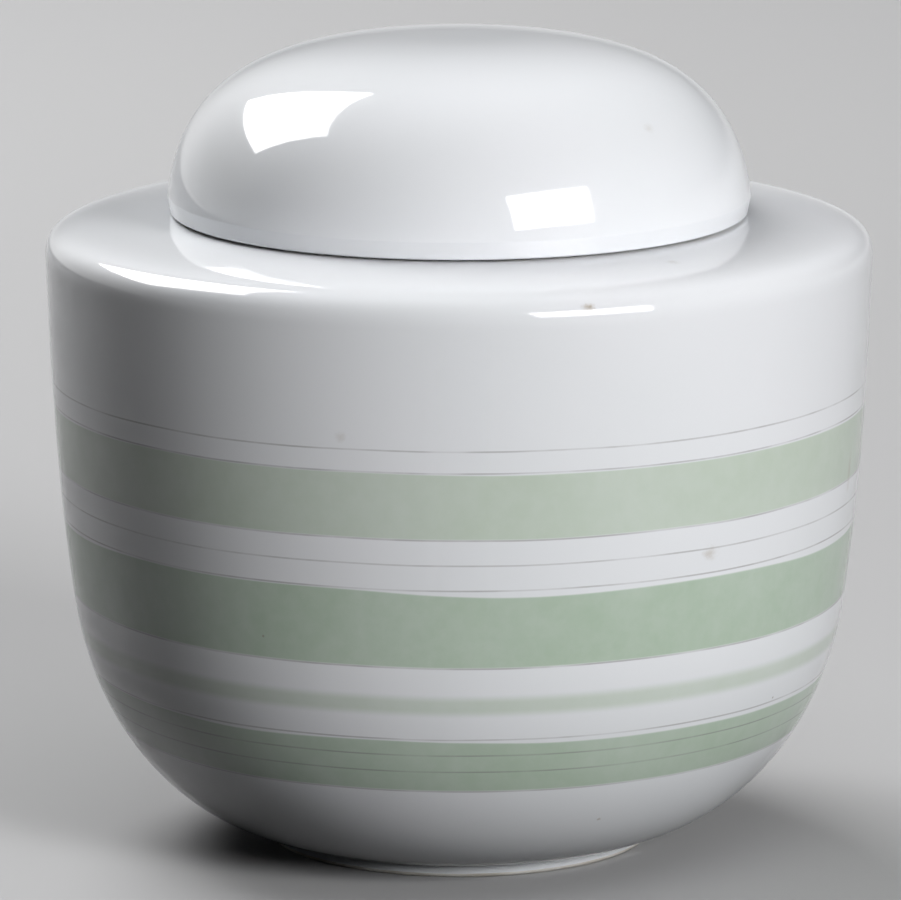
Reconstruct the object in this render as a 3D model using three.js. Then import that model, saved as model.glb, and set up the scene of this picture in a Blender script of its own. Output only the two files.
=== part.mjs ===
// Lidded sugar bowl in glazed porcelain: a full, round-bottomed bowl with a broad
// shoulder, and a domed lid whose flange drops into the mouth.
// Millimetres, +Z up, origin on the table under the middle of the foot.
import * as THREE from 'three';

const { degToRad } = THREE.MathUtils;

// Bowl, outside
const bowlRadius = 50;
const bowlHeight = 77;
const shoulderDrop = 1.6;
const shoulderSlope = degToRad(9.8);
const edgeRound = 2.7;
const wallLean = degToRad(2);
const wallTaper = 3.1;
const turnHeight = 30;
const turnLean = degToRad(8.1);
const turnReach = 18.3;
const baseReach = 8.4;
const baseRise = degToRad(5.6);

// Foot ring
const footRadius = 23.5;
const footWidth = 3;
const footHeight = 1.85;
const footFlare = 0.6;
const footRound = 0.5;
const recessDepth = 1.8;
const recessRound = 0.8;

// Bowl, inside
const wall = 3.2;
const shoulderThickness = 3.4;
const innerEdgeRound = 5;

// Mouth and the level seat around it
const mouthRadius = 27;
const lipRound = 0.8;
const seatWidth = 2.2;

// Lid, outside
const lidOverhang = 5.25;
const lidRise = 21.4;
const creaseRise = 2.4;
const creaseTurn = 0.15;
const domeLean = degToRad(7.2);
const sideReach = 19;
const crownReach = 14.5;
const rimTuck = 0.3;
const rimLift = 0.2;
const rimRound = 0.4;

// Lid, inside, and the flange that centres it
const lidWall = 3.2;
const lidInnerRound = 4;
const flangeClearance = 0.8;
const flangeDepth = 6;
const flangeThickness = 3;
const flangeRound = 1;
const neckRound = 0.5;

// Facets: around the axis, and along each kind of stretch
const turns = 48;
const longSteps = 12;
const mediumSteps = 7;
const shortSteps = 4;
const tinySteps = 2;

// Directions in a half section, as angles from the radius
const outward = 0;
const upward = Math.PI / 2;
const inward = Math.PI;
const downward = 1.5 * Math.PI;
const fullCircle = 2 * Math.PI;

// Levels and radii that the two pieces share
const seatHeight = bowlHeight;
const seatRadius = mouthRadius + lipRound + seatWidth;

function at(radius, height) {
  return new THREE.Vector2(radius, height);
}

function away(point, direction, distance) {
  return at(point.x + distance * Math.cos(direction), point.y + distance * Math.sin(direction));
}

function arc(center, radius, from, to, steps) {
  return new THREE.ArcCurve(center.x, center.y, radius, from, to, to < from).getPoints(steps);
}

function bend(start, corner, end, steps) {
  return new THREE.QuadraticBezierCurve(start, corner, end).getPoints(steps);
}

// Points at a fixed distance on the left of a curve
function leftOf(curve, distance, steps) {
  const points = [];
  for (let step = 0; step <= steps; step += 1) {
    const heading = curve.getTangent(step / steps).angle();
    points.push(away(curve.getPoint(step / steps), heading + Math.PI / 2, distance));
  }
  return points;
}

// A turned piece from its half section, which starts and ends on the axis
function turned(name, section, material) {
  const geometry = new THREE.LatheGeometry(section, turns);
  geometry.rotateX(Math.PI / 2);
  const mesh = new THREE.Mesh(geometry, material);
  mesh.name = name;
  return mesh;
}

// The bowl's section runs from the middle of the underside, up the outside,
// over the shoulder into the mouth, and down the inside to the floor.
function bowlSection() {
  // Foot ring with a level face to stand on and a shallow recess inside it
  const footInner = footRadius - footWidth;
  const footTop = at(footRadius + footFlare, footHeight);
  const footHollow = at(footRadius, footHeight - footFlare * Math.tan(baseRise));
  const foot = [
    at(0, recessDepth),
    ...arc(at(footInner - recessRound, recessDepth - recessRound), recessRound, upward, outward, tinySteps),
    ...arc(at(footInner + footRound, footRound), footRound, inward, downward, tinySteps),
    ...arc(at(footRadius - footRound, footRound), footRound, downward, fullCircle, tinySteps),
    ...bend(at(footRadius, footRound), footHollow, footTop, tinySteps),
  ];

  // Base that swings out from the foot and turns up into the wall
  const turn = at(bowlRadius - wallTaper, turnHeight);
  const baseCurve = new THREE.CubicBezierCurve(
    footTop,
    away(footTop, baseRise, baseReach),
    away(turn, upward - turnLean, -turnReach),
    turn,
  );

  // Wall, a little bowed, up to the rounded edge of the shoulder
  const edgeTop = bowlHeight - shoulderDrop;
  const edgeCenter = at(bowlRadius - edgeRound, edgeTop - edgeRound);
  const edge = arc(edgeCenter, edgeRound, outward - wallLean, upward - shoulderSlope, shortSteps);
  const wallTop = edge.at(0);
  const wallReach = turn.distanceTo(wallTop) / 3;
  const wallCurve = new THREE.CubicBezierCurve(
    turn,
    away(turn, upward - turnLean, wallReach),
    away(wallTop, upward - wallLean, -wallReach),
    wallTop,
  );

  // Shoulder, a low arch that rises to the level seat around the mouth
  const edgeEnd = edge.at(-1);
  const halfShoulder = (edgeEnd.x - seatRadius) / 2;
  const shoulderCrown = at(seatRadius + halfShoulder, edgeEnd.y + halfShoulder * Math.tan(shoulderSlope));
  const shoulder = bend(edgeEnd, shoulderCrown, at(seatRadius, seatHeight), shortSteps);

  // Mouth, its lip rounded above and below
  const underside = bowlHeight - shoulderThickness;
  const lipCenter = mouthRadius + lipRound;
  const mouth = [
    ...arc(at(lipCenter, seatHeight - lipRound), lipRound, upward, inward, tinySteps),
    ...arc(at(lipCenter, underside + lipRound), lipRound, inward, downward, tinySteps),
  ];

  // Inside, a wall's thickness in from the outside and rounded under the shoulder
  const innerCorner = at(bowlRadius - wall, edgeTop - shoulderThickness);
  const innerWall = [...leftOf(baseCurve, wall, longSteps), ...leftOf(wallCurve, wall, mediumSteps)]
    .filter((point) => point.y < innerCorner.y - innerEdgeRound)
    .reverse();
  const underShoulder = mouth.at(-1).clone().sub(innerCorner).setLength(innerEdgeRound).add(innerCorner);
  const innerEdge = bend(underShoulder, innerCorner, innerWall.at(0), shortSteps);
  const floorCenter = at(0, innerWall.at(-1).y);

  return [
    ...foot,
    ...baseCurve.getPoints(longSteps),
    ...wallCurve.getPoints(mediumSteps),
    ...edge,
    ...shoulder,
    ...mouth,
    ...innerEdge,
    ...innerWall,
    floorCenter,
  ];
}

// The lid's section runs from the middle of the ceiling, down the inside,
// round the flange, along the seat and rim, and up the dome to the crown.
function lidSection() {
  // Dome from the crease, its widest line, up to the crown
  const crease = at(seatRadius + lidOverhang, seatHeight + creaseRise);
  const crown = at(0, seatHeight + lidRise);
  const domeCurve = new THREE.CubicBezierCurve(
    crease,
    away(crease, upward + domeLean, sideReach),
    at(crownReach, crown.y),
    crown,
  );

  // Inside of the dome, rounded where it meets the floor above the seat
  const floorHeight = seatHeight + lidWall;
  const innerCorner = at(crease.x - lidWall, floorHeight);
  const innerDome = leftOf(domeCurve, lidWall, longSteps)
    .filter((point) => point.y > floorHeight + lidInnerRound)
    .reverse();
  const floorEdge = at(innerCorner.x - lidInnerRound, floorHeight);
  const innerEdge = bend(innerDome.at(-1), innerCorner, floorEdge, shortSteps);

  // Flange that hangs into the mouth
  const flangeOuter = mouthRadius - flangeClearance;
  const flangeInner = flangeOuter - flangeThickness;
  const toeHeight = seatHeight - flangeDepth + flangeRound;
  const flange = [
    ...arc(at(flangeInner + flangeRound, floorHeight - flangeRound), flangeRound, upward, inward, tinySteps),
    ...arc(at(flangeInner + flangeRound, toeHeight), flangeRound, inward, downward, tinySteps),
    ...arc(at(flangeOuter - flangeRound, toeHeight), flangeRound, downward, fullCircle, tinySteps),
    ...arc(at(flangeOuter + neckRound, seatHeight - neckRound), neckRound, inward, upward, tinySteps),
  ];

  // Rim tucked in below the crease, clear of the shoulder as the underside rises past the seat
  const seatEnd = at(seatRadius, seatHeight);
  const rimCenter = at(crease.x - rimTuck - rimRound, seatHeight + rimLift + rimRound);
  const rim = arc(rimCenter, rimRound, downward, fullCircle, tinySteps);
  const band = bend(rim.at(-1), away(crease, upward + domeLean, -creaseTurn), crease, shortSteps);

  return [
    ...innerDome,
    ...innerEdge,
    ...flange,
    seatEnd,
    ...rim,
    ...band,
    ...domeCurve.getPoints(longSteps),
  ];
}

const bowlGlaze = new THREE.MeshStandardMaterial({ color: 0xe8eceb, roughness: 0.12, metalness: 0 });
const lidGlaze = new THREE.MeshStandardMaterial({ color: 0xe6ebea, roughness: 0.1, metalness: 0 });

const sugarBowl = new THREE.Group();
sugarBowl.add(turned('bowl', bowlSection(), bowlGlaze));
sugarBowl.add(turned('lid', lidSection(), lidGlaze));

export default sugarBowl;
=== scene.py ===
"""Porcelain sugar bowl with its lid: smooth turned bodies, glazes and banding, on a pale studio floor."""
import math

import bmesh
import bpy
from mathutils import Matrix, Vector


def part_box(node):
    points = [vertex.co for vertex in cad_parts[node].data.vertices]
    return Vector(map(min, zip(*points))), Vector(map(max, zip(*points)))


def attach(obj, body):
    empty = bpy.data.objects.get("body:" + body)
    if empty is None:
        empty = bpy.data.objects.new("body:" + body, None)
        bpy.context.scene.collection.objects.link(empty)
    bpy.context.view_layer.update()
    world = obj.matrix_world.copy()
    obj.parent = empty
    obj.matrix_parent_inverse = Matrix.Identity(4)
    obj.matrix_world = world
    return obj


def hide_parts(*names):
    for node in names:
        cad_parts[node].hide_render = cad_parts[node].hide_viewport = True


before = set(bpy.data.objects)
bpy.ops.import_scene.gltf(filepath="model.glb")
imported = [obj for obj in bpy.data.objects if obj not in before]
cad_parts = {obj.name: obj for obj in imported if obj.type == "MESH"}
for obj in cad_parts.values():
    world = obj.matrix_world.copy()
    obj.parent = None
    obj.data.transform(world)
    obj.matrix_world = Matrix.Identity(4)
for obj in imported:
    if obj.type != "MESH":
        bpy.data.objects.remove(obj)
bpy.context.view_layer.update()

MM = 0.001

# Sizes that the solids give
_, bowl_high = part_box("bowl")
lid_low, lid_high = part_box("lid")
BOWL_RADIUS = bowl_high[0]
SEAT_HEIGHT = bowl_high[2]
LID_RADIUS = lid_high[0]
CROWN_HEIGHT = lid_high[2]
TOE_HEIGHT = lid_low[2]

# Bowl, outside
SHOULDER_DROP = 0.63 * MM
SHOULDER_SLOPE = math.radians(5.85)
WALL_LEAN = math.radians(2)
WALL_TAPER = 3.1 * MM
TURN_HEIGHT = 30 * MM
TURN_LEAN = math.radians(8.1)
TURN_REACH = 18.3 * MM
BASE_REACH = 8.4 * MM
BASE_RISE = math.radians(5.6)

# Rounded edge of the shoulder: its end in from the wall, its start below the seat,
# and how far its curve goes on along the shoulder and up the wall
EDGE_INSET = 7.5 * MM
EDGE_DROP = 5.3 * MM
EDGE_REACH = 6.1 * MM
EDGE_RISE = 3.4 * MM

# Foot ring
FOOT_RADIUS = 23.5 * MM
FOOT_WIDTH = 3 * MM
FOOT_HEIGHT = 1.85 * MM
FOOT_FLARE = 0.6 * MM
FOOT_ROUND = 0.5 * MM
RECESS_DEPTH = 1.8 * MM
RECESS_ROUND = 0.8 * MM

# Bowl, inside, and its mouth
WALL = 3.2 * MM
SHOULDER_THICKNESS = 3.4 * MM
INNER_EDGE_DROP = 5 * MM
INNER_EDGE_ROUND = 5 * MM
MOUTH_RADIUS = 27 * MM
LIP_ROUND = 0.8 * MM
SEAT_RADIUS = 30 * MM

# Lid
CREASE_RISE = 2.4 * MM
CREASE_TURN = 0.15 * MM
DOME_LEAN = math.radians(7.2)
SIDE_REACH = 19 * MM
CROWN_REACH = 14.5 * MM
RIM_TUCK = 0.3 * MM
RIM_LIFT = 0.2 * MM
RIM_ROUND = 0.4 * MM
LID_WALL = 3.2 * MM
LID_INNER_ROUND = 4 * MM
FLANGE_CLEARANCE = 0.8 * MM
FLANGE_THICKNESS = 3 * MM
FLANGE_ROUND = 1 * MM
NECK_ROUND = 0.5 * MM

# Fineness of the turned bodies
TURNS = 256
LONG_STEPS = 64
MEDIUM_STEPS = 24
SHORT_STEPS = 10
SAME_POINT = 0.001 * MM
SHARP_EDGE = math.radians(35)

# Directions in a half section, as angles from the radius
OUTWARD = 0.0
UPWARD = math.pi / 2
INWARD = math.pi
DOWNWARD = 1.5 * math.pi
FULL_CIRCLE = 2 * math.pi


# Half sections

def at(radius, height):
    return Vector((radius, height))


def away(point, direction, distance):
    return point + distance * Vector((math.cos(direction), math.sin(direction)))


def line(start, end, steps=SHORT_STEPS):
    return [start.lerp(end, step / steps) for step in range(steps + 1)]


def arc(center, radius, start, end, steps=SHORT_STEPS):
    return [away(center, start + (end - start) * step / steps, radius) for step in range(steps + 1)]


def bend(start, corner, end, steps=MEDIUM_STEPS):
    points = []
    for step in range(steps + 1):
        share = step / steps
        points.append(start.lerp(corner, share).lerp(corner.lerp(end, share), share))
    return points


def sweep(start, start_reach, end_reach, end, steps, left=0.0):
    """Points of a cubic curve, or at a distance on its left."""
    points = []
    for step in range(steps + 1):
        share = step / steps
        first = start.lerp(start_reach, share)
        second = start_reach.lerp(end_reach, share)
        third = end_reach.lerp(end, share)
        early = first.lerp(second, share)
        late = second.lerp(third, share)
        heading = (late - early).normalized()
        points.append(early.lerp(late, share) + left * Vector((-heading.y, heading.x)))
    return points


def bowl_stretches():
    """The bowl's half section, from the middle of the underside round to the middle of the floor."""
    foot_inner = FOOT_RADIUS - FOOT_WIDTH
    foot_top = at(FOOT_RADIUS + FOOT_FLARE, FOOT_HEIGHT)
    foot_hollow = at(FOOT_RADIUS, FOOT_HEIGHT - FOOT_FLARE * math.tan(BASE_RISE))
    recess_center = at(foot_inner - RECESS_ROUND, RECESS_DEPTH - RECESS_ROUND)
    recess = line(at(0, RECESS_DEPTH), at(recess_center.x, RECESS_DEPTH))
    recess += arc(recess_center, RECESS_ROUND, UPWARD, OUTWARD)
    foot = arc(at(foot_inner + FOOT_ROUND, FOOT_ROUND), FOOT_ROUND, INWARD, DOWNWARD)
    foot += line(at(foot_inner + FOOT_ROUND, 0), at(FOOT_RADIUS - FOOT_ROUND, 0))
    foot += arc(at(FOOT_RADIUS - FOOT_ROUND, FOOT_ROUND), FOOT_ROUND, DOWNWARD, FULL_CIRCLE)
    foot_side = bend(at(FOOT_RADIUS, FOOT_ROUND), foot_hollow, foot_top)

    turn = at(BOWL_RADIUS - WALL_TAPER, TURN_HEIGHT)
    turn_heading = UPWARD - TURN_LEAN
    base = (foot_top, away(foot_top, BASE_RISE, BASE_REACH), away(turn, turn_heading, -TURN_REACH), turn)

    wall_top = at(BOWL_RADIUS, SEAT_HEIGHT - EDGE_DROP)
    wall_heading = UPWARD - WALL_LEAN
    wall_reach = (wall_top - turn).length / 3
    wall = (turn, away(turn, turn_heading, wall_reach), away(wall_top, wall_heading, -wall_reach), wall_top)

    shoulder_end = at(BOWL_RADIUS - EDGE_INSET, SEAT_HEIGHT - SHOULDER_DROP)
    over_wall = away(wall_top, wall_heading, EDGE_RISE)
    past_shoulder = away(shoulder_end, -SHOULDER_SLOPE, EDGE_REACH)
    edge = sweep(wall_top, over_wall, past_shoulder, shoulder_end, LONG_STEPS)
    seat_edge = at(SEAT_RADIUS, SEAT_HEIGHT)
    half_shoulder = (shoulder_end.x - SEAT_RADIUS) / 2
    shoulder_crown = away(shoulder_end, INWARD - SHOULDER_SLOPE, half_shoulder / math.cos(SHOULDER_SLOPE))
    shoulder = bend(shoulder_end, shoulder_crown, seat_edge)

    lip_center = MOUTH_RADIUS + LIP_ROUND
    underside = SEAT_HEIGHT - SHOULDER_THICKNESS
    seat = line(seat_edge, at(lip_center, SEAT_HEIGHT))
    lip = arc(at(lip_center, SEAT_HEIGHT - LIP_ROUND), LIP_ROUND, UPWARD, INWARD)
    lip += arc(at(lip_center, underside + LIP_ROUND), LIP_ROUND, INWARD, DOWNWARD)

    inner_corner = at(BOWL_RADIUS - WALL, SEAT_HEIGHT - INNER_EDGE_DROP)
    inner_wall = sweep(*base, LONG_STEPS, WALL) + sweep(*wall, LONG_STEPS, WALL)
    inner_wall = [point for point in inner_wall if point.y < inner_corner.y - INNER_EDGE_ROUND]
    inner_wall.reverse()
    under_shoulder = inner_corner + (lip[-1] - inner_corner).normalized() * INNER_EDGE_ROUND
    inside = line(lip[-1], under_shoulder)
    inside += bend(under_shoulder, inner_corner, inner_wall[0])
    inside += inner_wall
    inside += line(inner_wall[-1], at(0, inner_wall[-1].y))

    outside = foot_side + sweep(*base, LONG_STEPS) + sweep(*wall, LONG_STEPS) + edge + shoulder
    return [
        ("inner_glaze", recess),
        ("bare_porcelain", foot),
        ("banded_glaze", outside),
        ("bare_porcelain", seat),
        ("inner_glaze", lip + inside),
    ]


def lid_stretches():
    """The lid's half section, from the middle of the ceiling round to the crown."""
    crease = at(LID_RADIUS, SEAT_HEIGHT + CREASE_RISE)
    crown = at(0, CROWN_HEIGHT)
    dome = (crease, away(crease, UPWARD + DOME_LEAN, SIDE_REACH), at(CROWN_REACH, CROWN_HEIGHT), crown)

    floor_height = SEAT_HEIGHT + LID_WALL
    inner_corner = at(LID_RADIUS - LID_WALL, floor_height)
    inner_dome = sweep(*dome, LONG_STEPS, LID_WALL)
    inner_dome = [point for point in inner_dome if point.y > floor_height + LID_INNER_ROUND]
    inner_dome.reverse()
    floor_edge = at(inner_corner.x - LID_INNER_ROUND, floor_height)

    flange_outer = MOUTH_RADIUS - FLANGE_CLEARANCE
    flange_inner = flange_outer - FLANGE_THICKNESS
    toe_level = TOE_HEIGHT + FLANGE_ROUND
    root_center = at(flange_inner + FLANGE_ROUND, floor_height - FLANGE_ROUND)
    inside = inner_dome + bend(inner_dome[-1], inner_corner, floor_edge)
    inside += line(floor_edge, at(root_center.x, floor_height))
    inside += arc(root_center, FLANGE_ROUND, UPWARD, INWARD)
    inside += line(at(flange_inner, root_center.y), at(flange_inner, toe_level))
    toe = arc(at(flange_inner + FLANGE_ROUND, toe_level), FLANGE_ROUND, INWARD, DOWNWARD)
    toe += arc(at(flange_outer - FLANGE_ROUND, toe_level), FLANGE_ROUND, DOWNWARD, FULL_CIRCLE)
    neck_center = at(flange_outer + NECK_ROUND, SEAT_HEIGHT - NECK_ROUND)
    neck = line(at(flange_outer, toe_level), at(flange_outer, neck_center.y))
    neck += arc(neck_center, NECK_ROUND, INWARD, UPWARD)

    seat_end = at(SEAT_RADIUS, SEAT_HEIGHT)
    rim_center = at(LID_RADIUS - RIM_TUCK - RIM_ROUND, SEAT_HEIGHT + RIM_LIFT + RIM_ROUND)
    rim = arc(rim_center, RIM_ROUND, DOWNWARD, FULL_CIRCLE)
    underside = line(neck[-1], seat_end) + line(seat_end, rim[0])
    band = bend(rim[-1], away(crease, UPWARD + DOME_LEAN, -CREASE_TURN), crease)
    return [
        ("lid_glaze", inside),
        ("bare_porcelain", toe + neck + underside),
        ("lid_glaze", rim + band + sweep(*dome, LONG_STEPS)),
    ]


# Turned bodies

def ring_places(point):
    """Places of one point of a half section all round the axis, or its one place on the axis."""
    if point.x < SAME_POINT:
        return [(0.0, 0.0, point.y)]
    angles = [FULL_CIRCLE * turn / TURNS for turn in range(TURNS)]
    return [(point.x * math.cos(angle), point.x * math.sin(angle), point.y) for angle in angles]


def ring_faces(before, after):
    """Faces between two rings of vertices, triangles where one ring is a single vertex on the axis."""
    faces = []
    for turn in range(TURNS):
        beside = (turn + 1) % TURNS
        corners = [
            before[turn % len(before)],
            before[beside % len(before)],
            after[beside % len(after)],
            after[turn % len(after)],
        ]
        faces.append(list(dict.fromkeys(corners)))
    return faces


def turned(name, stretches, finishes):
    """A closed turned body whose half section starts and ends on the axis."""
    slots = sorted({finish for finish, _ in stretches})
    vertices = []
    faces = []
    face_slots = []
    last_point = None
    last_ring = None
    for finish, points in stretches:
        for point in points:
            if last_point is not None and (point - last_point).length < SAME_POINT:
                continue
            places = ring_places(point)
            ring = range(len(vertices), len(vertices) + len(places))
            vertices += places
            if last_ring is not None:
                faces += ring_faces(last_ring, ring)
                face_slots += [slots.index(finish)] * TURNS
            last_point = point
            last_ring = ring
    mesh = bpy.data.meshes.new(name)
    mesh.from_pydata(vertices, [], faces)
    for slot in slots:
        mesh.materials.append(finishes[slot])
    mesh.polygons.foreach_set("material_index", face_slots)
    shell = bmesh.new()
    shell.from_mesh(mesh)
    bmesh.ops.recalc_face_normals(shell, faces=shell.faces)
    shell.to_mesh(mesh)
    shell.free()
    mesh.shade_smooth()
    mesh.set_sharp_from_angle(angle=SHARP_EDGE)
    piece = bpy.data.objects.new(name, mesh)
    bpy.context.scene.collection.objects.link(piece)
    return piece


# Shader building

NUMBER = "NodeSocketFloat"
VECTOR = "NodeSocketVector"
COLOR = "NodeSocketColor"


def feed(tree, socket, value):
    """Sets an input, or wires it where the value is another node's output."""
    if isinstance(value, bpy.types.NodeSocket):
        tree.links.new(value, socket)
    else:
        socket.default_value = value


def add(tree, kind, inputs=None, **settings):
    made = tree.nodes.new(kind)
    for key, value in settings.items():
        setattr(made, key, value)
    for key, value in (inputs or {}).items():
        feed(tree, made.inputs[key], value)
    return made


def calculate(tree, operation, first, second=0.0):
    return add(tree, "ShaderNodeMath", {0: first, 1: second}, operation=operation).outputs[0]


def combine(tree, operation, first, second, output="Vector"):
    return add(tree, "ShaderNodeVectorMath", {0: first, 1: second}, operation=operation).outputs[output]


def length(tree, vector):
    return add(tree, "ShaderNodeVectorMath", {0: vector}, operation="LENGTH").outputs["Value"]


def smooth_step(tree, value, low, high, start=0.0, end=1.0):
    inputs = {"Value": value, "From Min": low, "From Max": high, "To Min": start, "To Max": end}
    return add(tree, "ShaderNodeMapRange", inputs, interpolation_type="SMOOTHSTEP").outputs["Result"]


def blend(tree, share, under, over):
    """One colour laid over another. The mix node's colour sockets share names, so they go by number."""
    return add(tree, "ShaderNodeMix", {0: share, 6: under, 7: over}, data_type="RGBA").outputs[2]


def noise(tree, position, scale, detail=2.0, roughness=0.5):
    inputs = {"Vector": position, "Scale": scale, "Detail": detail, "Roughness": roughness}
    return add(tree, "ShaderNodeTexNoise", inputs).outputs["Fac"]


def new_group(name, inputs, outputs):
    """An empty node group with named sockets, what it is given and what it puts out."""
    tree = bpy.data.node_groups.new(name, "ShaderNodeTree")
    for label, kind in inputs.items():
        tree.interface.new_socket(label, in_out="INPUT", socket_type=kind)
    for label, kind in outputs.items():
        tree.interface.new_socket(label, in_out="OUTPUT", socket_type=kind)
    return tree, tree.nodes.new("NodeGroupInput").outputs, tree.nodes.new("NodeGroupOutput").inputs


def place(tree, group, **inputs):
    """A node group placed in a material with its own values, named in lower case."""
    named = {key.replace("_", " ").title(): value for key, value in inputs.items()}
    return add(tree, "ShaderNodeGroup", named, node_tree=group).outputs


# Patterns that the finishes share

# Painted bands: how far their lines waver, how uneven brush and wear leave them,
# and the parts of a line's width where its colour is full and where it ends
WAVER = 0.35 * MM
WAVER_SCALE = 45.0
GAP_SCALE = 18.0
MOTTLE_SCALE = 420.0
WASH_SCALE = 60.0
THINNEST_WASH = 0.88
WEAR_SCALE = 110.0
MOST_WORN = 0.3
LINE_CORE = 0.3
LINE_EDGE = 0.7
# Stains: how far their outline strays, in half widths, and where a mark is full and where it ends
STRAY = 1.6
STAIN_CORE = 0.6
STAIN_EDGE = 1.9


def glaze_tone_group():
    """Glaze that lies thin in some places and pools thicker in others."""
    inputs = {"Position": VECTOR, "Thin": COLOR, "Thick": COLOR, "Scale": NUMBER}
    tree, given, made = new_group("glaze_tone", inputs, {"Color": COLOR})
    patches = noise(tree, given["Position"], given["Scale"], detail=3.0)
    patches = smooth_step(tree, patches, low=0.3, high=0.7)
    feed(tree, made["Color"], blend(tree, patches, given["Thin"], given["Thick"]))
    return tree


def glaze_ripple_group():
    """Long, low waves of the glaze with a faint orange peel on them."""
    inputs = {"Position": VECTOR, "Wave Scale": NUMBER, "Peel Scale": NUMBER, "Peel Share": NUMBER}
    tree, given, made = new_group("glaze_ripple", inputs, {"Height": NUMBER})
    waves = noise(tree, given["Position"], given["Wave Scale"], detail=1.0)
    peel = noise(tree, given["Position"], given["Peel Scale"], detail=1.0)
    peel = calculate(tree, "MULTIPLY", peel, given["Peel Share"])
    feed(tree, made["Height"], calculate(tree, "ADD", waves, peel))
    return tree


def rubbed_gloss_group():
    """Roughness of a gloss that hands and cloths have rubbed in patches."""
    inputs = {"Position": VECTOR, "Scale": NUMBER, "Polished": NUMBER, "Rubbed": NUMBER}
    tree, given, made = new_group("rubbed_gloss", inputs, {"Roughness": NUMBER})
    patches = noise(tree, given["Position"], given["Scale"], detail=4.0, roughness=0.6)
    gloss = smooth_step(tree, patches, low=0.35, high=0.75, start=given["Polished"], end=given["Rubbed"])
    feed(tree, made["Roughness"], gloss)
    return tree


def kiln_specks_group():
    """Sparse small dots, at most one in each cell of a loose net."""
    inputs = {"Position": VECTOR, "Scale": NUMBER, "Share": NUMBER, "Size": NUMBER}
    tree, given, made = new_group("kiln_specks", inputs, {"Mask": NUMBER})
    cells = add(tree, "ShaderNodeTexVoronoi", {"Vector": given["Position"], "Scale": given["Scale"]})
    distance = calculate(tree, "DIVIDE", cells.outputs["Distance"], given["Scale"])
    half_size = calculate(tree, "MULTIPLY", given["Size"], 0.5)
    dots = smooth_step(tree, distance, half_size, given["Size"], start=1.0, end=0.0)
    draw = add(tree, "ShaderNodeSeparateColor", {"Color": cells.outputs["Color"]}).outputs["Red"]
    chosen = calculate(tree, "LESS_THAN", draw, given["Share"])
    feed(tree, made["Mask"], calculate(tree, "MULTIPLY", dots, chosen))
    return tree


def stain_group():
    """A ragged mark round one place on the surface."""
    inputs = {
        "Position": VECTOR, "Center": VECTOR, "Reach": VECTOR, "Ragged Scale": NUMBER, "Strength": NUMBER,
    }
    tree, given, made = new_group("stain", inputs, {"Mask": NUMBER})
    offset = combine(tree, "SUBTRACT", given["Position"], given["Center"])
    offset = combine(tree, "DIVIDE", offset, given["Reach"])
    ragged = noise(tree, given["Position"], given["Ragged Scale"], detail=4.0, roughness=0.65)
    stray = calculate(tree, "MULTIPLY", ragged, STRAY)
    distance = calculate(tree, "ADD", length(tree, offset), stray)
    mark = smooth_step(tree, distance, STAIN_CORE, STAIN_EDGE, start=1.0, end=0.0)
    feed(tree, made["Mask"], calculate(tree, "MULTIPLY", mark, given["Strength"]))
    return tree


def painted_band_group():
    """A level band of thin colour, softer towards its edges, and the fine lines that bound it."""
    inputs = {
        "Position": VECTOR, "Low": NUMBER, "High": NUMBER, "Feather": NUMBER, "Gap": NUMBER,
        "Density": NUMBER, "Line Width": NUMBER, "Line Strength": NUMBER,
    }
    tree, given, made = new_group("painted_band", inputs, {"Fill": NUMBER, "Outline": NUMBER})
    position = given["Position"]
    height = add(tree, "ShaderNodeSeparateXYZ", {"Vector": position}).outputs["Z"]
    waver = calculate(tree, "MULTIPLY", noise(tree, position, WAVER_SCALE, detail=1.0), WAVER)
    height = calculate(tree, "ADD", height, waver)
    above = calculate(tree, "SUBTRACT", height, given["Low"])
    below = calculate(tree, "SUBTRACT", given["High"], height)
    gap = noise(tree, position, GAP_SCALE, detail=1.0)
    gap = smooth_step(tree, gap, low=0.35, high=0.65, start=0.0, end=given["Gap"])
    rise = smooth_step(tree, above, 0.0, given["Feather"])
    fall = smooth_step(tree, calculate(tree, "SUBTRACT", below, gap), 0.0, given["Feather"])
    mottle = noise(tree, position, MOTTLE_SCALE, detail=4.0, roughness=0.6)
    mottle = smooth_step(tree, mottle, low=0.2, high=0.8, start=THINNEST_WASH)
    washes = noise(tree, position, WASH_SCALE, detail=2.0)
    washes = smooth_step(tree, washes, low=0.3, high=0.7, start=THINNEST_WASH)
    fill = calculate(tree, "MULTIPLY", calculate(tree, "MULTIPLY", rise, fall), given["Density"])
    fill = calculate(tree, "MULTIPLY", fill, calculate(tree, "MULTIPLY", mottle, washes))
    feed(tree, made["Fill"], fill)
    from_low = calculate(tree, "ABSOLUTE", above)
    from_high = calculate(tree, "ABSOLUTE", below)
    from_line = calculate(tree, "MINIMUM", from_low, from_high)
    core = calculate(tree, "MULTIPLY", given["Line Width"], LINE_CORE)
    edge = calculate(tree, "MULTIPLY", given["Line Width"], LINE_EDGE)
    lines = smooth_step(tree, from_line, core, edge, start=1.0, end=0.0)
    worn = noise(tree, position, WEAR_SCALE, detail=3.0)
    worn = smooth_step(tree, worn, low=0.3, high=0.65, start=MOST_WORN)
    lines = calculate(tree, "MULTIPLY", lines, calculate(tree, "MULTIPLY", worn, given["Line Strength"]))
    feed(tree, made["Outline"], lines)
    return tree


# Finishes

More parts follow.
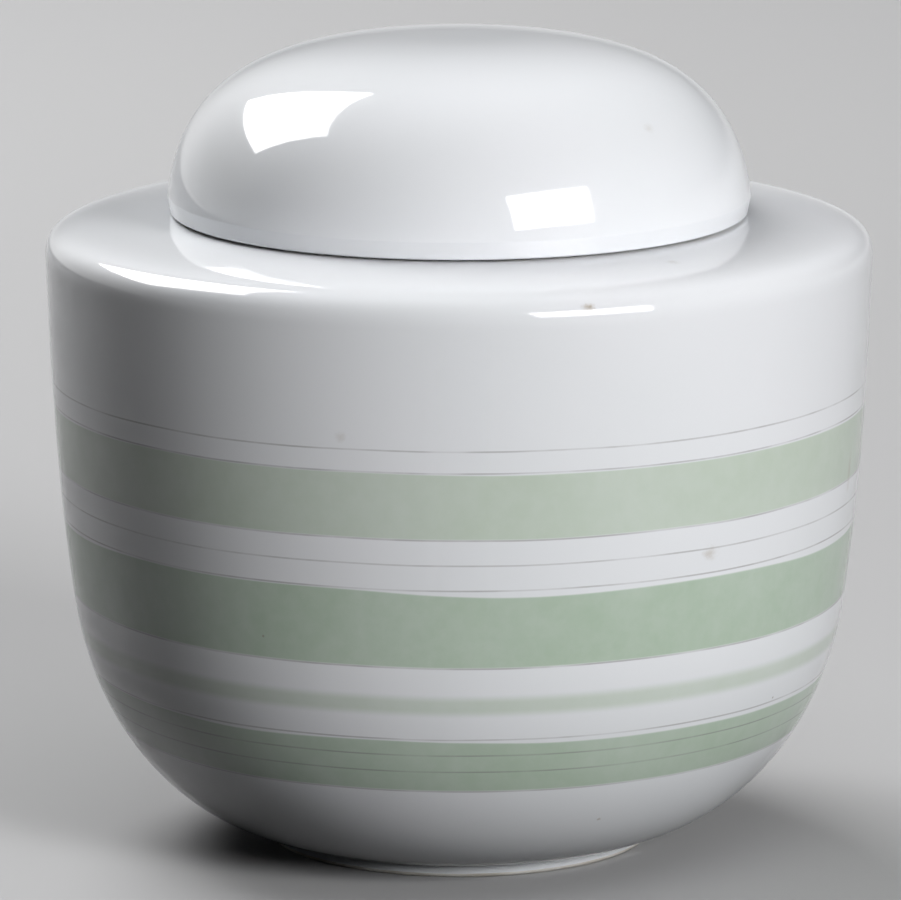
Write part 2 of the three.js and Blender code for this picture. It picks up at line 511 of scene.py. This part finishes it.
WHITE_GLAZE = (0.80, 0.81, 0.84, 1)
POOLED_GLAZE = (0.775, 0.795, 0.82, 1)
DEEP_GREEN = (0.385, 0.50, 0.375, 1)
PALE_GREEN = (0.50, 0.585, 0.485, 1)
LINE_TONE = (0.22, 0.21, 0.21, 1)
STAIN_TONE = (0.33, 0.25, 0.15, 1)
SPECK_TONE = (0.28, 0.25, 0.21, 1)
BISCUIT = (0.70, 0.68, 0.64, 1)
HANDLED_BISCUIT = (0.55, 0.51, 0.45, 1)
GLAZE_IOR = 1.52
RIPPLE_DEPTH = 0.02 * MM
GLAZED_SPECK_STRENGTH = 0.6
BARE_SPECK_STRENGTH = 0.5
GRAIN_SCALE = 2500.0
GRAIN_STRENGTH = 0.6

# Level bands on the wall: heights of their bounding lines, colour, softness of the edge,
# widest gap under the upper line, density, line strength
BANDS = (
    (47.0 * MM, 55.0 * MM, PALE_GREEN, 0.25 * MM, 0.2 * MM, 0.95, 0.55),
    (31.5 * MM, 41.0 * MM, DEEP_GREEN, 0.25 * MM, 0.9 * MM, 0.95, 0.55),
    (25.2 * MM, 28.4 * MM, PALE_GREEN, 1.2 * MM, 0.0, 0.75, 0.0),
    (15.5 * MM, 22.5 * MM, DEEP_GREEN, 0.25 * MM, 0.5 * MM, 0.9, 0.5),
)
# Fine lines that stand alone or run inside a band
FINE_LINES = (57.6 * MM, 44.0 * MM, 20.4 * MM, 18.2 * MM)
FINE_LINE_WIDTH = 0.19 * MM
FINE_LINE_STRENGTH = 0.5

# Marks of use: degrees round from the front, radius, height, half width, half height, strength
BOWL_MARKS = (
    (17.4, 49.5 * MM, 74.0 * MM, 1.0 * MM, 0.5 * MM, 0.75),
    (37.3, 48.4 * MM, 43.2 * MM, 1.4 * MM, 1.1 * MM, 0.35),
    (73.2, 48.7 * MM, 47.9 * MM, 1.0 * MM, 3.2 * MM, 0.35),
    (25.5, 38.2 * MM, 10.2 * MM, 0.35 * MM, 0.3 * MM, 0.8),
    (-16.0, 49.4 * MM, 58.8 * MM, 0.8 * MM, 0.8 * MM, 0.2),
    (37.7, 40.7 * MM, 76.3 * MM, 1.1 * MM, 0.9 * MM, 0.25),
)
LID_MARKS = ((46.8, 30.6 * MM, 90.5 * MM, 0.9 * MM, 0.8 * MM, 0.2),)
# Noise waves of a mark's outline in half its height
RAGGED_WAVES = 1.2


def new_material(name):
    """A material with its shader, and the place on the piece that its patterns follow."""
    material = bpy.data.materials.new(name)
    material.use_nodes = True
    tree = material.node_tree
    position = add(tree, "ShaderNodeTexCoord").outputs["Object"]
    return material, tree, tree.nodes["Principled BSDF"].inputs, position


def stained(tree, position, color, marks, groups):
    for angle, radius, height, half_width, half_height, strength in marks:
        turn = math.radians(angle)
        mark = place(
            tree,
            groups["stain"],
            position=position,
            center=(radius * math.sin(turn), -radius * math.cos(turn), height),
            reach=(half_width, half_width, half_height),
            ragged_scale=RAGGED_WAVES / half_height,
            strength=strength,
        )
        color = blend(tree, mark["Mask"], color, STAIN_TONE)
    return color


def banded(tree, position, color, groups):
    for low, high, tone, feather, gap, density, line_strength in BANDS:
        band = place(
            tree,
            groups["painted_band"],
            position=position,
            low=low,
            high=high,
            feather=feather,
            gap=gap,
            density=density,
            line_width=FINE_LINE_WIDTH,
            line_strength=line_strength,
        )
        color = blend(tree, band["Fill"], color, tone)
        color = blend(tree, band["Outline"], color, LINE_TONE)
    for level in FINE_LINES:
        line_alone = place(
            tree,
            groups["painted_band"],
            position=position,
            low=level,
            high=level,
            feather=FINE_LINE_WIDTH,
            gap=0.0,
            density=0.0,
            line_width=FINE_LINE_WIDTH,
            line_strength=FINE_LINE_STRENGTH,
        )
        color = blend(tree, line_alone["Outline"], color, LINE_TONE)
    return color


def glaze(name, groups, marks=(), with_bands=False):
    """Glossy white porcelain glaze, with the painted bands and the marks of use where it has them."""
    material, tree, shader, position = new_material(name)
    color = place(
        tree, groups["glaze_tone"], position=position, thin=WHITE_GLAZE, thick=POOLED_GLAZE, scale=22.0
    )["Color"]
    if with_bands:
        color = banded(tree, position, color, groups)
    color = stained(tree, position, color, marks, groups)
    specks = place(
        tree, groups["kiln_specks"], position=position, scale=85.0, share=0.3, size=0.22 * MM
    )["Mask"]
    color = blend(tree, calculate(tree, "MULTIPLY", specks, GLAZED_SPECK_STRENGTH), color, SPECK_TONE)
    feed(tree, shader["Base Color"], color)
    gloss = place(tree, groups["rubbed_gloss"], position=position, scale=60.0, polished=0.045, rubbed=0.085)
    feed(tree, shader["Roughness"], gloss["Roughness"])
    shader["IOR"].default_value = GLAZE_IOR
    ripple = place(
        tree, groups["glaze_ripple"], position=position, wave_scale=38.0, peel_scale=300.0, peel_share=0.02
    )["Height"]
    pimples = place(
        tree, groups["kiln_specks"], position=position, scale=70.0, share=0.2, size=0.3 * MM
    )["Mask"]
    relief = calculate(tree, "ADD", calculate(tree, "SUBTRACT", ripple, specks), pimples)
    bump = add(tree, "ShaderNodeBump", {"Strength": 1.0, "Distance": RIPPLE_DEPTH, "Height": relief})
    feed(tree, shader["Normal"], bump.outputs["Normal"])
    return material


def bare_porcelain(groups):
    """Fired porcelain left without glaze where pieces touch: matt, faintly grainy, grey with handling."""
    material, tree, shader, position = new_material("bare_porcelain")
    color = place(
        tree, groups["glaze_tone"], position=position, thin=BISCUIT, thick=HANDLED_BISCUIT, scale=160.0
    )["Color"]
    specks = place(
        tree, groups["kiln_specks"], position=position, scale=500.0, share=0.25, size=0.25 * MM
    )["Mask"]
    color = blend(tree, calculate(tree, "MULTIPLY", specks, BARE_SPECK_STRENGTH), color, SPECK_TONE)
    feed(tree, shader["Base Color"], color)
    gloss = place(tree, groups["rubbed_gloss"], position=position, scale=220.0, polished=0.5, rubbed=0.75)
    feed(tree, shader["Roughness"], gloss["Roughness"])
    grain = noise(tree, position, GRAIN_SCALE, detail=3.0, roughness=0.7)
    relief = {"Strength": GRAIN_STRENGTH, "Distance": RIPPLE_DEPTH, "Height": grain}
    bump = add(tree, "ShaderNodeBump", relief)
    feed(tree, shader["Normal"], bump.outputs["Normal"])
    return material


# Stage

# Camera: the photograph's frame, the focal length and the axis point's place in its pixels
IMAGE_WIDTH = 901
IMAGE_HEIGHT = 900
SENSOR = 36.0
FOCAL_PIXELS = 7385.4
AXIS_PIXEL = (459.1, 510.2)
AXIS_POINT = Vector((0, 0, 40 * MM))
CAMERA_DISTANCE = 0.9
CAMERA_ELEVATION = math.radians(12.181)
CAMERA_FAR = 20.0

# Floor and world, as they are seen and as they light the object
BLACK = (0, 0, 0, 1)
FLOOR_RADIUS = 4.0
FLOOR_SIDES = 96
PALE_FLOOR = (0.46, 0.46, 0.465, 1)
DIM_FLOOR = (0.03, 0.03, 0.03, 1)
DIM_WORLD = (0.008, 0.008, 0.008, 1)
# Pale sweep that the lit floor turns into further out, and how high it reaches above the horizon
PALE_SWEEP = (0.52, 0.52, 0.525, 1)
SWEEP_START = 0.5
SWEEP_END = 1.6
SWEEP_TOP = math.radians(8)
# Soft pale wall behind on the left, seen in the gloss alone: degrees round from the front and up,
# and how far it stays full and fades out
GLOW_TONE = (1.35, 1.35, 1.35, 1)
GLOW_PLACE = (-129, 18)
GLOW_CORE = math.radians(8)
GLOW_EDGE = math.radians(48)

# Soft lights: degrees round from the front, degrees up, metres away, width, height, watts,
# and whether each one lights the matt shading and shows in the gloss
SOFTBOXES = {
    "key_lamp": (39, 19.3, 1.2, 0.35, 0.4, 13.2, True, False),
    "key_softbox": (37.5, 21.0, 1.2, 0.69, 0.41, 11.3, False, True),
    "back_softbox": (-125, 46, 1.3, 0.9, 0.66, 24.0, False, True),
    "rear_fill": (-145, 48, 1.3, 0.9, 0.7, 16.8, True, False),
    "top_fill": (10, 72, 1.4, 1.0, 0.8, 4.2, True, False),
    "far_fill": (160, 12, 1.5, 0.8, 0.8, 1.5, True, False),
}


def direction(azimuth, elevation):
    """Unit vector from the object, with the azimuth counted to the right of the front."""
    level = math.cos(elevation)
    return Vector((level * math.sin(azimuth), -level * math.cos(azimuth), math.sin(elevation)))


def make_camera():
    camera = bpy.data.cameras.new("camera")
    camera.sensor_width = SENSOR
    camera.lens = FOCAL_PIXELS / IMAGE_WIDTH * SENSOR
    camera.clip_end = CAMERA_FAR
    holder = bpy.data.objects.new("camera", camera)
    toward = direction(0.0, CAMERA_ELEVATION)
    holder.location = AXIS_POINT + CAMERA_DISTANCE * toward
    size_per_pixel = CAMERA_DISTANCE / FOCAL_PIXELS
    right = Vector((1, 0, 0))
    up = toward.cross(right)
    aim = AXIS_POINT.copy()
    aim += right * (IMAGE_WIDTH / 2 - AXIS_PIXEL[0]) * size_per_pixel
    aim += up * (AXIS_PIXEL[1] - IMAGE_HEIGHT / 2) * size_per_pixel
    holder.rotation_mode = "QUATERNION"
    holder.rotation_quaternion = (aim - holder.location).to_track_quat("-Z", "Y")
    bpy.context.scene.collection.objects.link(holder)
    bpy.context.scene.camera = holder


def softbox(name, azimuth, elevation, distance, width, height, power, shades, mirrored):
    """A rectangular soft light that faces the middle of the bowl."""
    light = bpy.data.lights.new(name, "AREA")
    light.shape = "RECTANGLE"
    light.size = width
    light.size_y = height
    light.energy = power
    lamp = bpy.data.objects.new(name, light)
    toward = direction(math.radians(azimuth), math.radians(elevation))
    lamp.location = AXIS_POINT + distance * toward
    lamp.rotation_mode = "QUATERNION"
    lamp.rotation_quaternion = (-toward).to_track_quat("-Z", "Y")
    lamp.visible_camera = False
    lamp.visible_diffuse = shades
    lamp.visible_glossy = mirrored
    bpy.context.scene.collection.objects.link(lamp)


def seen_directly(tree):
    """1 on what the camera sees, straight or in gloss or glass, and 0 on what only lights the object."""
    path = add(tree, "ShaderNodeLightPath").outputs
    seen = calculate(tree, "MAXIMUM", path["Is Camera Ray"], path["Is Glossy Ray"])
    return calculate(tree, "MAXIMUM", seen, path["Is Transmission Ray"])


def make_floor():
    mesh = bpy.data.meshes.new("floor")
    disc = bmesh.new()
    bmesh.ops.create_circle(disc, cap_ends=True, segments=FLOOR_SIDES, radius=FLOOR_RADIUS)
    disc.to_mesh(mesh)
    disc.free()
    material, tree, shader, position = new_material("floor")
    seen = seen_directly(tree)
    far_out = smooth_step(tree, length(tree, position), SWEEP_START, SWEEP_END)
    lit = blend(tree, far_out, PALE_FLOOR, BLACK)
    feed(tree, shader["Base Color"], blend(tree, seen, DIM_FLOOR, lit))
    sweep_share = calculate(tree, "MULTIPLY", seen, far_out)
    feed(tree, shader["Emission Color"], blend(tree, sweep_share, BLACK, PALE_SWEEP))
    shader["Emission Strength"].default_value = 1.0
    shader["Specular IOR Level"].default_value = 0.0
    shader["Roughness"].default_value = 1.0
    mesh.materials.append(material)
    floor = bpy.data.objects.new("floor", mesh)
    bpy.context.scene.collection.objects.link(floor)


def make_world():
    """Dim all round, with the pale sweep over the horizon and the soft wall that only the gloss mirrors."""
    world = bpy.data.worlds.new("studio")
    world.use_nodes = True
    tree = world.node_tree
    toward = add(tree, "ShaderNodeTexCoord").outputs["Generated"]
    height = add(tree, "ShaderNodeSeparateXYZ", {"Vector": toward}).outputs["Z"]
    low_down = smooth_step(tree, height, 0.0, math.sin(SWEEP_TOP), start=1.0, end=0.0)
    sweep_share = calculate(tree, "MULTIPLY", seen_directly(tree), low_down)
    color = blend(tree, sweep_share, DIM_WORLD, PALE_SWEEP)
    glow_way = direction(*[math.radians(angle) for angle in GLOW_PLACE])
    nearness = combine(tree, "DOT_PRODUCT", toward, glow_way, output="Value")
    glow = smooth_step(tree, nearness, math.cos(GLOW_EDGE), math.cos(GLOW_CORE))
    in_gloss = add(tree, "ShaderNodeLightPath").outputs["Is Glossy Ray"]
    color = blend(tree, calculate(tree, "MULTIPLY", glow, in_gloss), color, GLOW_TONE)
    feed(tree, tree.nodes["Background"].inputs["Color"], color)
    bpy.context.scene.world = world


def main():
    make_camera()
    groups = {
        "glaze_tone": glaze_tone_group(),
        "glaze_ripple": glaze_ripple_group(),
        "rubbed_gloss": rubbed_gloss_group(),
        "kiln_specks": kiln_specks_group(),
        "stain": stain_group(),
        "painted_band": painted_band_group(),
    }
    finishes = {
        "banded_glaze": glaze("banded_glaze", groups, BOWL_MARKS, with_bands=True),
        "inner_glaze": glaze("inner_glaze", groups),
        "lid_glaze": glaze("lid_glaze", groups, LID_MARKS),
        "bare_porcelain": bare_porcelain(groups),
    }
    for body, stretches in (("bowl", bowl_stretches()), ("lid", lid_stretches())):
        piece = turned(body + "_porcelain", stretches, finishes)
        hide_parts(body)
        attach(piece, body)
    make_floor()
    make_world()
    for name, settings in SOFTBOXES.items():
        softbox(name, *settings)
    bpy.context.scene.view_settings.view_transform = "Standard"


main()
